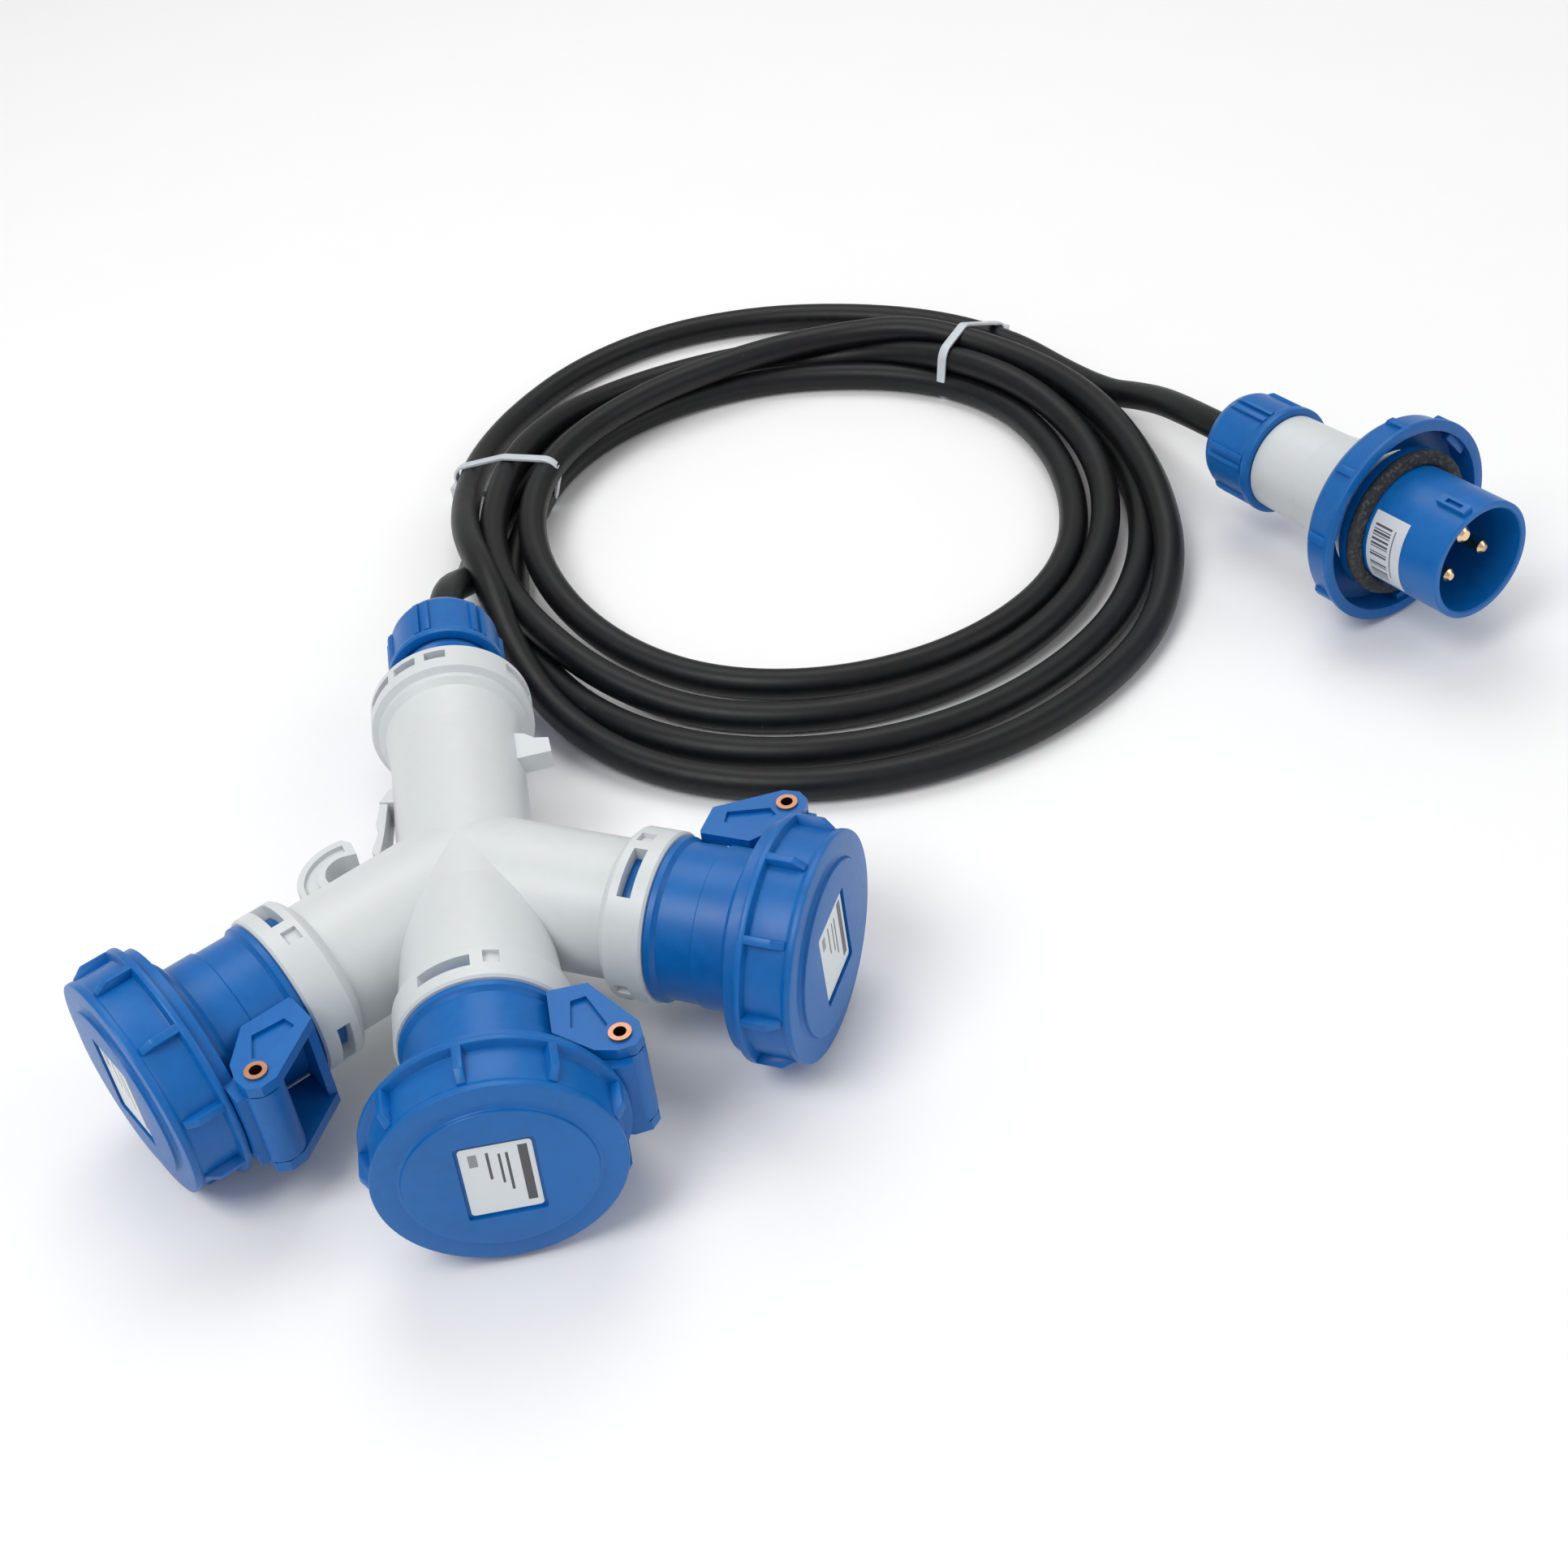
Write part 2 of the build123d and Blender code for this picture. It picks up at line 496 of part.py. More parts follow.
def plug_ring_gasket():
    return tube(SHROUD_R + 5.2, SHROUD_R + 0.02, -SHROUD_DEPTH - 2.6, -SHROUD_DEPTH + 1.2)


def plug_body():
    z0, z1 = -PLUG_NUT_BACK + 14.4, -SHROUD_DEPTH - 6
    outline = [(NECK_BORE_R, z0), (THREAD_R - 0.9, z0)]
    z = z0 + 1
    while z < -PLUG_NUT_FRONT - 2:
        outline += [(THREAD_R - 0.9, z), (THREAD_R, z + 1.2), (THREAD_R, z + 1.8)]
        z += 3
    outline += [(THREAD_R - 0.9, -PLUG_NUT_FRONT + 0.2), (PLUG_TAIL_R, -PLUG_NUT_FRONT + 0.4),
                (PLUG_TAIL_R + 0.5, -74), (PLUG_BODY_R - 1, -62),
                (PLUG_BODY_R, -56), (PLUG_BODY_R, z1 - 3), (SHROUD_R + 0.8, z1 - 3), (SHROUD_R + 0.8, z1),
                (PLUG_BODY_R - 4, z1), (PLUG_BODY_R - 4, -58), (PLUG_TAIL_R - 3, -80), (PLUG_TAIL_R - 3, -96),
                (NECK_BORE_R, -98)]
    return turned(outline)


def plug_label():
    return sector(SHROUD_R, SHROUD_R + 0.18, PLUG_LABEL_ANGLE, PLUG_LABEL_ANGLE + 75, -32.5, -17)


def turned_round(shape):
    """A gland piece made for the inlet, turned end for end to sit on the plug."""
    return Rot(180, 0, 0) * shape


# ---- lead ----
def lead_tube(name, points, stub):
    """Round rubber lead: straight runs joined by the largest arcs that fit."""
    pts = [place(*p) for p in points]
    radii = []
    for a, b, c in zip(pts, pts[1:], pts[2:]):
        half = math.radians((b - a).get_angle(c - b)) / 2
        radii.append(0.45 * min((b - a).length, (c - b).length) / math.tan(half))
    path = FilletPolyline(*pts, radius=radii)
    shape = sweep(Plane(pts[0], z_dir=pts[1] - pts[0]) * Circle(CABLE_R), path=path)
    ratio = shape.volume / (math.pi * CABLE_R ** 2 * path.length)
    print(name, "length", round(path.length, 1), "radii", [round(r) for r in radii], "ratio", round(ratio, 4))
    return shape + stub


def coil_inside(radii):
    """Smooth closed outline round the middle of the coil, its radius given every 30 degrees."""
    points = []
    for k, r in enumerate(radii):
        a = math.radians(30 * k)
        points.append((r * math.cos(a), r * math.sin(a)))
    return make_face(Spline(*points, periodic=True))


def lead_coil(ties):
    """The loosely tied coil as one ring: oval outside, nearly round inside, with slots for its ties."""
    section = Ellipse(COIL_RX, COIL_RY) - coil_inside(COIL_INSIDE)
    ring = extrude(section, COIL_HEIGHT)
    ring = chamfer(ring.edges().filter_by(GeomType.LINE, reverse=True), COIL_CHAMFER)
    ring = Location(place(COIL_X, COIL_Y, -AXIS_HEIGHT)) * ring
    for tie in ties:
        ring -= tie
    return ring


def cable_tie(angle, r_in, r_out):
    """A flat nylon tie round the coil, with its square head on the outer side."""
    low, high = r_in - TIE_THICK, r_out + TIE_THICK
    top = COIL_HEIGHT + TIE_THICK
    half = TIE_WIDTH / 2
    loop = block(low, high, -half, half, 0, top)
    loop -= block(r_in, r_out, -half - 1, half + 1, TIE_THICK, COIL_HEIGHT)
    head = block(high - 0.2, high + 3.4, -3.4, 3.4, 10, 17)
    return Location(place(COIL_X, COIL_Y, -AXIS_HEIGHT)) * Rot(0, 0, angle) * (loop + head)


# ---- the whole thing ----
def save(name, shape):
    if isinstance(shape, (list, tuple)):
        shape = Compound(children=list(shape))
    export_step(shape, f"parts/{name}.step")


def moved(frame, shape):
    if isinstance(shape, list):
        return [frame.location * piece for piece in shape]
    return frame.location * shape


os.makedirs("parts", exist_ok=True)

save("hub_body", hub_body())
save("hook_gate", hook_gate())
save("inlet_neck", moved(INLET, inlet_neck()))
save("inlet_gland_nut", moved(INLET, gland_nut(NUT_BACK, NUT_FRONT - NUT_BACK)))
save("inlet_gland_seal", moved(INLET, gland_seal(NECK_FRONT, 7.4)))

for name, turn in ARMS.items():
    arm = arm_frame(turn)
    save(f"{name}_socket_body", moved(arm, socket_body()))
    save(f"{name}_contact_carrier", moved(arm, contact_carrier()))
    save(f"{name}_contacts", moved(arm, contacts()))
    save(f"{name}_terminal_screws", moved(arm, terminal_screws()))
    save(f"{name}_cap_carrier", moved(arm, cap_carrier()))
    save(f"{name}_hinge_pin", moved(arm, hinge_pin()))
    save(f"{name}_hinge_spring", moved(arm, hinge_spring()))
    save(f"{name}_cap", moved(arm, cap(name)))
    save(f"{name}_cap_gasket", moved(arm, cap_gasket()))
    save(f"{name}_cap_label", moved(arm, cap_label(name)))

save("line_wires", wires("line"))
save("neutral_wires", wires("neutral"))
save("earth_wires", wires("earth"))
save("splice_blocks", splice_blocks())

save("plug_shroud", moved(PLUG, plug_shroud()))
save("plug_pins", moved(PLUG, plug_pins()))
save("plug_wires", moved(PLUG, plug_wires()))
save("plug_ring", moved(PLUG, plug_ring()))
save("plug_ring_gasket", moved(PLUG, plug_ring_gasket()))
save("plug_body", moved(PLUG, plug_body()))
nut_length = PLUG_NUT_BACK - PLUG_NUT_FRONT
save("plug_gland_nut", moved(PLUG, turned_round(gland_nut(PLUG_NUT_FRONT, nut_length))))
save("plug_gland_seal", moved(PLUG, turned_round(gland_seal(PLUG_NUT_BACK - 14.4, 7.4))))
save("plug_label", moved(PLUG, plug_label()))

# the lead: out of the hub and down into the coil, and out of the coil to the plug
INLET_STUB = moved(INLET, rod(CABLE_R, LEAD_START, NUT_FRONT))
INLET_ROUTE = [(0, NUT_FRONT, 0), (0.4, 152, -0.6), (3, 170, -5), (6.5, 188, -13.5), (11, 207, -24)]
PLUG_STUB = moved(PLUG, rod(CABLE_R, -PLUG_NUT_BACK, -PLUG_NUT_FRONT))
EXIT = PLUG.origin - PLUG.z_dir * PLUG_NUT_BACK - CROSSING
BACK = EXIT - PLUG.z_dir * 15
PLUG_ROUTE = [tuple(EXIT), tuple(BACK), (303, 206, -10), (299.5, 226, -16), (294.5, 244, -22.8),
              (287, 260.5, -28.6), (278, 275.5, -32.2)]
ties = {"left": cable_tie(154, 108.5, 148), "right": cable_tie(47, 105.5, 156)}
save("lead_inlet_run", lead_tube("inlet run", INLET_ROUTE, INLET_STUB))
save("lead_plug_run", lead_tube("plug run", PLUG_ROUTE, PLUG_STUB))
save("lead_coil", lead_coil(ties.values()))
for side, tie in ties.items():
    save(f"cable_tie_{side}", tie)
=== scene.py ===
# %% [markdown]
# # A three-way power splitter on its rubber lead
#
# A grey plastic hub feeds three capped blue sockets. Its lead leaves the hub through a
# gland nut, lies on the floor in a loosely tied coil, and ends in a pin-and-sleeve plug.
# The solid parts come from the CAD frame. This lesson draws what the frame leaves plain:
# the lead itself, its ties, the ribbed caps and nuts, the labels, the springs, the foam
# and the surfaces of all of it.

# %%
import json
import math

import bmesh
import bpy
import numpy as np
from mathutils import Matrix, Vector


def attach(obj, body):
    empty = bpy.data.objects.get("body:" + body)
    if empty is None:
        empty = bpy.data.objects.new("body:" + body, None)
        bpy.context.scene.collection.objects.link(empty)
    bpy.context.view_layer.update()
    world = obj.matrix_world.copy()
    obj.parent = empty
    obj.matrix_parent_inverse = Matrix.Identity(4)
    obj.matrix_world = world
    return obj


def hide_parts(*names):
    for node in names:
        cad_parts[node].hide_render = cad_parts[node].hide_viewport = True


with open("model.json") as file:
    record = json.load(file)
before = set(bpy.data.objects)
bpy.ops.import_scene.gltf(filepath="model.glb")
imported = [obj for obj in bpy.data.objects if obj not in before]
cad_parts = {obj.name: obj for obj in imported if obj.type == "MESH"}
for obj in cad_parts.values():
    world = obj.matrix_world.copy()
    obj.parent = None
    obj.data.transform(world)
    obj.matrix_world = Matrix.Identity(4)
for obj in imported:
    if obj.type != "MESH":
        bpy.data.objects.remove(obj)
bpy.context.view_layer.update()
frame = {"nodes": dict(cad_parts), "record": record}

MM = 0.001
CROSSING = Vector((0, -6.25, 38.1))      # where the arms' axes meet, in millimetres
FLOOR = -38.1                            # the floor's height from there
PLUG_MOUTH = Vector((359.5, 57.4, 3.2))  # the middle of the plug's mouth, from there
PLUG_HEADING, PLUG_TILT = math.radians(-67.9), math.radians(3.5)
PLUG_GLAND_END = -124                    # where the lead leaves the plug, along its axis
ARMS = {"front": 0.0, "right": 60.0, "left": -60.0}


# %% [markdown]
# ## Frames
#
# Every arm has its own frame, with z running out along the arm and y up. The plug has one
# too, at the mouth of its shroud, with z running out of it.

# %%
def frame_of(origin, x, z):
    x, z = Vector(x).normalized(), Vector(z).normalized()
    y = z.cross(x)
    turn = Matrix((x, y, z)).transposed().to_4x4()
    return Matrix.Translation(Vector(origin) * MM) @ turn @ Matrix.Scale(MM, 4)


def arm_frame(name):
    a = math.radians(ARMS[name])
    return frame_of(CROSSING, (math.cos(a), math.sin(a), 0), (math.sin(a), -math.cos(a), 0))


def plug_frame():
    h, p = PLUG_HEADING, PLUG_TILT
    out = (math.cos(h) * math.cos(p), math.sin(h) * math.cos(p), math.sin(p))
    return frame_of(CROSSING + PLUG_MOUTH, (-math.sin(h), math.cos(h), 0), out)


INLET = frame_of(CROSSING, (-1, 0, 0), (0, 1, 0))
PLUG = plug_frame()
print("plug mouth", [round(v, 4) for v in PLUG.translation])

# %% [markdown]
# ## Camera
#
# The camera looks down on the splitter from the front, turned a little, as a catalogue
# picture would. It comes early, so that every later step can be looked at.

# %%
AZIMUTH, ELEVATION, ROLL = math.radians(-5.58), math.radians(40.67), math.radians(-7.54)
CAMERA_PLACE = (0.05334, -0.5108, 0.48806)
back = Vector((math.sin(AZIMUTH) * math.cos(ELEVATION), -math.cos(AZIMUTH) * math.cos(ELEVATION),
               math.sin(ELEVATION)))
right = (-back).cross(Vector((0, 0, 1))).normalized()
up = right.cross(-back)
side = math.cos(ROLL) * right + math.sin(ROLL) * up
top = math.cos(ROLL) * up - math.sin(ROLL) * right
lens = bpy.data.cameras.new("camera")
lens.lens, lens.sensor_width, lens.clip_start = 48.81, 36.0, 0.05
camera = bpy.data.objects.new("camera", lens)
facing = Matrix((side, top, back)).transposed().to_4x4()
camera.matrix_world = Matrix.Translation(CAMERA_PLACE) @ facing
bpy.context.scene.collection.objects.link(camera)
bpy.context.scene.camera = camera


# %% [markdown]
# ## Node graphs
#
# `Socket` wraps a shader or geometry socket, so that sums and products of sockets read as
# arithmetic. `Graph.node` makes any node from its type, settings and inputs.

# %%
class Socket:
    def __init__(self, graph, socket):
        self.graph, self.socket = graph, socket

    def _math(self, operation, a, b):
        return self.graph.node("ShaderNodeMath", {"operation": operation}, {0: a, 1: b})

    def __add__(self, other):
        return self._math("ADD", self, other)

    def __sub__(self, other):
        return self._math("SUBTRACT", self, other)

    def __rsub__(self, other):
        return self._math("SUBTRACT", other, self)

    def __mul__(self, other):
        return self._math("MULTIPLY", self, other)

    def __truediv__(self, other):
        return self._math("DIVIDE", self, other)

    def over(self, limit):
        return self._math("GREATER_THAN", self, limit)

    def smooth(self, low, high, a=0.0, b=1.0):
        wanted = {"Value": self, "From Min": low, "From Max": high, "To Min": a, "To Max": b}
        return self.graph.node("ShaderNodeMapRange", {"interpolation_type": "SMOOTHSTEP"}, wanted)


class Graph:
    """A node tree that is built by calls: every call adds one node and gives back its first output."""

    def __init__(self, tree):
        self.tree = tree
        tree.nodes.clear()

    def node(self, kind, settings=None, inputs=None, output=0):
        made = self.tree.nodes.new(kind)
        for key, value in (settings or {}).items():
            setattr(made, key, value)
        for key, value in (inputs or {}).items():
            if isinstance(value, Socket):
                self.tree.links.new(value.socket, made.inputs[key])
            else:
                made.inputs[key].default_value = value
        self.last = made
        return Socket(self, made.outputs[output]) if len(made.outputs) else None

    def out(self, name):
        return Socket(self, self.last.outputs[name])


# %% [markdown]
# ## Surfaces
#
# One recipe serves all the moulded plastic and rubber: a base colour that drifts slightly
# from place to place, a roughness that follows wear, and a fine grain in the surface. Each
# finish below only chooses the numbers.

# %%
def finish(name, colour, rough, grain=0.12, grain_size=9000.0, drift=0.05, metallic=0.0, coat=0.0,
           dust=0.0, second=None, alpha=1.0, scratches=0.25, ior=1.5):
    material = bpy.data.materials.new(name)
    material.use_nodes = True
    g = Graph(material.node_tree)
    place = g.node("ShaderNodeTexCoord", output=3)
    wide = g.node("ShaderNodeTexNoise", None, {"Vector": place, "Scale": 22.0, "Detail": 3.0})
    mottle = g.node("ShaderNodeTexNoise", None, {"Vector": place, "Scale": 260.0, "Detail": 4.0})
    fine = g.node("ShaderNodeTexNoise", None, {"Vector": place, "Scale": grain_size, "Detail": 2.0})
    light = [min(1.0, c * (1 + drift) + drift * 0.02) for c in colour] + [1.0]
    dark = [c * (1 - drift) for c in colour] + [1.0]
    tone = wide * 0.6 + mottle * 0.4
    base = g.node("ShaderNodeMix", {"data_type": "RGBA"},
                  {0: tone.smooth(0.3, 0.7), 6: dark, 7: light}, output=2)
    if second:
        spot = g.node("ShaderNodeTexNoise", None, {"Vector": place, "Scale": 700.0, "Detail": 3.0})
        base = g.node("ShaderNodeMix", {"data_type": "RGBA"}, {0: spot.smooth(0.52, 0.66) * 0.6, 6: base,
                                                             7: list(second) + [1.0]}, output=2)
    if dust:
        speck = g.node("ShaderNodeTexVoronoi", None, {"Vector": place, "Scale": 330.0})
        fleck = speck.smooth(0.06, 0.02) * mottle.smooth(0.58, 0.66) * dust
        base = g.node("ShaderNodeMix", {"data_type": "RGBA"},
                      {0: fleck, 6: base, 7: (0.55, 0.55, 0.55, 1)}, output=2)
    streak_place = g.node("ShaderNodeMapping", None, {"Vector": place, "Scale": (900.0, 40.0, 300.0)})
    streak = g.node("ShaderNodeTexNoise", None, {"Vector": streak_place, "Scale": 1.0, "Detail": 2.0})
    uneven = (mottle - 0.5) * 0.16 + streak.smooth(0.62, 0.7) * (0.1 * scratches) + rough
    height = fine * grain + mottle * (grain * 2.5)
    bump = g.node("ShaderNodeBump", None, {"Height": height, "Strength": 0.35, "Distance": 0.00012})
    wanted = {"Base Color": base, "Roughness": uneven, "Normal": bump, "Metallic": metallic, "IOR": ior}
    if coat:
        wanted.update({"Coat Weight": coat, "Coat Roughness": 0.2})
    if alpha < 1:
        wanted["Alpha"] = alpha
    skin = g.node("ShaderNodeBsdfPrincipled", None, wanted)
    g.node("ShaderNodeOutputMaterial", None, {"Surface": skin})
    return material


FINISHES = {
    "blue_plastic": finish("moulded blue", (0.0, 0.12, 0.41), 0.38, drift=0.09, dust=0.35, ior=1.42),
    "dark_blue_plastic": finish("blue in the shade", (0.0, 0.07, 0.28), 0.45),
    "grey_plastic": finish("moulded grey", (0.63, 0.66, 0.665), 0.4, drift=0.02, dust=0.1),
    "cable_rubber": finish("lead rubber", (0.004, 0.0044, 0.0055), 0.42, grain=0.2, drift=0.15,
                           dust=0.5, ior=1.36),
    "black_rubber": finish("seal rubber", (0.012, 0.012, 0.013), 0.6),
    "foam_rubber": finish("foam", (0.035, 0.036, 0.04), 0.95, grain=1.0, grain_size=2200.0, drift=0.5,
                          second=(0.11, 0.11, 0.12)),
    "brass": finish("worn brass", (0.83, 0.6, 0.36), 0.24, metallic=1.0, drift=0.08),
    "copper": finish("dull copper rivet", (0.5, 0.25, 0.16), 0.3, metallic=1.0, drift=0.15),
    "steel": finish("spring steel", (0.6, 0.6, 0.61), 0.3, metallic=1.0),
    "white_film": finish("label film", (0.72, 0.76, 0.79), 0.33, drift=0.02),
    "brown_pvc": finish("brown insulation", (0.16, 0.06, 0.025), 0.35),
    "blue_pvc": finish("blue insulation", (0.02, 0.12, 0.5), 0.35),
    "green_pvc": finish("green and yellow insulation", (0.14, 0.4, 0.04), 0.35),
    "clear_nylon": finish("milky nylon", (0.55, 0.6, 0.64), 0.4, drift=0.06, coat=0.3),
}
slot_of = {part["node"]: part["material_slot"] for part in frame["record"]["subparts"]}
for name, node in frame["nodes"].items():
    node.data.materials.clear()
    node.data.materials.append(FINISHES[slot_of[name]])
print("finishes", len(FINISHES))

# %% [markdown]
# ## The lead
#
# The lead is one curve. It leaves the hub's gland, runs down into the coil, goes round about
# four and a half times clockwise, and climbs to the plug. In the coil each pass is a short list of
# (angle, radius, height) about the coil's middle. A loop turns the lists into a control point
# every 15 degrees.

# %%
CABLE = 11.5                             # the lead's diameter
COIL_MIDDLE = (150.0, 215.0)
FIRST_ANGLE = 178                        # where the first pass begins
PASSES = [
    [(178, 139, 8), (165, 134, 6), (150, 131, 6), (120, 127, 6), (90, 123, 6), (75, 121.5, 7.5),
     (62, 119.5, 12.5), (50, 114, 17.5), (35, 115, 17.5), (20, 116, 14.5), (5, 117, 12),
     (-15, 118, 10), (-30, 120, 9), (-45, 123, 8), (-75, 127.5, 6), (-99, 131, 6),
     (-120, 131.5, 6), (-140, 131, 12), (-155, 130.5, 17.5), (-165, 130.5, 17.5)],
    [(165, 130, 17.5), (150, 133, 17.5), (138, 137.5, 14), (122, 139, 8), (105, 137, 6),
     (75, 133.5, 6), (50, 130, 6), (30, 128.5, 6), (10, 129, 6), (-10, 131, 6), (-25, 133.5, 6),
     (-40, 140, 6), (-75, 148.5, 6), (-99, 152, 6), (-120, 150, 6), (-140, 143, 6),
     (-165, 129, 6)],
    [(165, 118.5, 6), (150, 119, 6), (135, 118, 6), (120, 116, 6), (105, 113.5, 6), (92, 112, 6),
     (74, 110, 6), (60, 110.5, 6), (50, 112, 6), (33, 111, 6), (19, 107, 6), (2, 104.5, 6),
     (-15, 105, 6), (-27, 107.5, 6), (-45, 110, 6), (-75, 111, 6), (-120, 112, 6), (-140, 112, 8),
     (-165, 113, 14)],
    [(165, 115, 17.5), (150, 115, 18), (135, 112.5, 18), (120, 111, 18), (105, 111, 18),
     (92, 114, 18.5), (74, 121, 19), (60, 126, 22.5), (44, 127.5, 19), (30, 128.5, 18),
     (11, 129, 18), (-6, 132, 17.5), (-21, 140, 15), (-36, 151, 10), (-48, 158, 6), (-75, 167, 6),
     (-99, 170, 6), (-120, 166, 6), (-140, 155, 10), (-155, 143, 20), (-165, 136.5, 27),
     (-172, 136.5, 27)],
    [(178, 139.5, 23.5), (165, 143, 17), (150, 153, 10), (134, 163, 6), (120, 170, 6),
     (105, 173, 6), (94, 172, 6), (79, 165, 6), (59, 160, 6), (42, 153, 6), (34, 147.5, 6),
     (23.5, 143.5, 6)],
]


def coil_points(step=15):
    """Control points of the coil, clockwise from above, one every `step` degrees."""
    angles, radii, heights = [], [], []
    for k, row in enumerate(PASSES):
        for angle, radius, height in row:
            angles.append(360 * k + FIRST_ANGLE - angle)
            radii.append(radius)
            heights.append(height)
    points = []
    for swept in np.arange(angles[0], angles[-1] + 1, step):
        a = math.radians(FIRST_ANGLE - swept)
        r = np.interp(swept, angles, radii)
        z = np.interp(swept, angles, heights)
        points.append((COIL_MIDDLE[0] + r * math.cos(a), COIL_MIDDLE[1] + r * math.sin(a), z + FLOOR))
    return points


way_in = [(0, 128, 0), (0, 140, 0), (0.4, 152, -0.6), (3, 170, -5), (6.5, 188, -15.5), (9.6, 206, -26.5)]
way_out = [(288, 259, -28.6), (294.5, 244, -22.8), (299.5, 226, -16), (303, 206, -10), (307.3, 186, -5.4)]
plug_exit = PLUG @ Vector((0, 0, PLUG_GLAND_END))
plug_inside = PLUG @ Vector((0, 0, PLUG_GLAND_END + 6))
round_trip = [Vector(p) + CROSSING for p in way_in + coil_points() + way_out]
round_trip += [plug_exit / MM, plug_inside / MM]


def cord_curve(name, points, diameter):
    """One open spline with the points as its control points, as thick as the cord."""
    curve = bpy.data.curves.new(name, "CURVE")
    curve.dimensions = "3D"
    spline = curve.splines.new("NURBS")
    spline.points.add(len(points) - 1)
    for knot, p in zip(spline.points, points):
        knot.co = (p[0] * MM, p[1] * MM, p[2] * MM, 1)
    spline.order_u = 3
    spline.use_endpoint_u = True
    spline.resolution_u = 6
    curve.bevel_depth = diameter / 2 * MM
    curve.bevel_resolution = 8
    curve.use_fill_caps = True
    piece = bpy.data.objects.new(name, curve)
    bpy.context.scene.collection.objects.link(piece)
    return piece


def curve_length(piece):
    """Length of a bevelled curve's own line, in metres."""
    thick, piece.data.bevel_depth = piece.data.bevel_depth, 0
    bpy.context.view_layer.update()
    line = piece.evaluated_get(bpy.context.evaluated_depsgraph_get()).to_mesh()
    points = [v.co.copy() for v in line.vertices]
    piece.data.bevel_depth = thick
    return sum((b - a).length for a, b in zip(points, points[1:]))


lead = cord_curve("rubber_lead", round_trip, CABLE)
lead_length = curve_length(lead)
lead.data.materials.append(FINISHES["cable_rubber"])
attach(lead, "splitter")
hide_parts("lead_inlet_run", "lead_coil", "lead_plug_run")
print("lead length", round(lead_length, 3), "points", len(round_trip))

# %% [markdown]
# ## Turned and repeated pieces
#
# `turned` spins a rounded outline about z. `ring_of` sets copies of one small shape round
# an axis with a Geometry Nodes tree: grip ribs on caps, nuts and the plug's ring.

# %%
def rounded(outline, radius):
    """The closed outline with every corner swapped for a short three-point arc."""
    soft = []
    count = len(outline)
    for k in range(count):
        a, b, c = (Vector(outline[(k + d) % count]) for d in (-1, 0, 1))
        reach_in = min(radius, 0.4 * (a - b).length)
        reach_out = min(radius, 0.4 * (c - b).length)
        if b.x < 0.01:
            soft.append(b)
            continue
        start, end = b + (a - b).normalized() * reach_in, b + (c - b).normalized() * reach_out
        soft += [start, (start + end) * 0.25 + b * 0.5, end]
    return soft


def turned(outline, radius=0.6, segments=144):
    """Mesh data of the closed (radius, z) outline spun about z."""
    soft = rounded(outline, radius)
    mesh = bpy.data.meshes.new("turned")
    points, faces, count = [], [], len(soft)
    for s in range(segments):
        a = 2 * math.pi * s / segments
        points += [(p.x * math.cos(a), p.x * math.sin(a), p.y) for p in soft]
    for s in range(segments):
        here, there = s * count, ((s + 1) % segments) * count
        for k in range(count):
            n = (k + 1) % count
            faces.append((here + k, here + n, there + n, there + k))
    mesh.from_pydata(points, [], faces)
    return mesh


def prism(outline, low, high):
    """Mesh data of a closed (radius, z) outline, standing on edge between two widths."""
    count = len(outline)
    points = [(r, low, z) for r, z in outline] + [(r, high, z) for r, z in outline]
    faces = [tuple(range(count)), tuple(range(2 * count - 1, count - 1, -1))]
    faces += [(k, k + count, (k + 1) % count + count, (k + 1) % count) for k in range(count)]
    mesh = bpy.data.meshes.new("prism")
    mesh.from_pydata(points, [], faces)
    return mesh


def softened(mesh, width, steps=2):
    """The same mesh with its sharp edges rounded over."""
    build = bmesh.new()
    build.from_mesh(mesh)
    bmesh.ops.remove_doubles(build, verts=build.verts, dist=1e-5)
    bmesh.ops.recalc_face_normals(build, faces=build.faces)
    sharp = [e for e in build.edges if len(e.link_faces) == 2 and e.calc_face_angle() > 0.5]
    bmesh.ops.bevel(build, geom=sharp, offset=width, segments=steps, profile=0.5, affect="EDGES",
                    clamp_overlap=True)
    build.to_mesh(mesh)
    build.free()
    return mesh


def ring_tree():
    """Geometry Nodes: copies of a shape round z, realised, with their material set."""
    tree = bpy.data.node_groups.new("ring of copies", "GeometryNodeTree")
    face = tree.interface
    for label, kind in (("Shape", "NodeSocketObject"), ("Count", "NodeSocketInt"),
                        ("First", "NodeSocketFloat"), ("Finish", "NodeSocketMaterial")):
        face.new_socket(label, in_out="INPUT", socket_type=kind)
    face.new_socket("Geometry", in_out="OUTPUT", socket_type="NodeSocketGeometry")
    g = Graph(tree)
    shape = g.node("NodeGroupInput")
    count, first, skin = g.out("Count"), g.out("First"), g.out("Finish")
    copy = g.node("GeometryNodeObjectInfo", {"transform_space": "ORIGINAL"}, {"Object": shape},
                  output="Geometry")
    points = g.node("GeometryNodePoints", None, {"Count": count})
    number = g.node("GeometryNodeInputIndex")
    angle = number * (2 * math.pi) / count + first
    turn = g.node("ShaderNodeCombineXYZ", None, {"Z": angle})
    placed = g.node("GeometryNodeInstanceOnPoints", None,
                    {"Points": points, "Instance": copy, "Rotation": turn})
    solid = g.node("GeometryNodeRealizeInstances", None, {"Geometry": placed})
    done = g.node("GeometryNodeSetMaterial", None, {"Geometry": solid, "Material": skin})
    g.node("NodeGroupOutput", None, {"Geometry": done})
    return tree


RING = ring_tree()


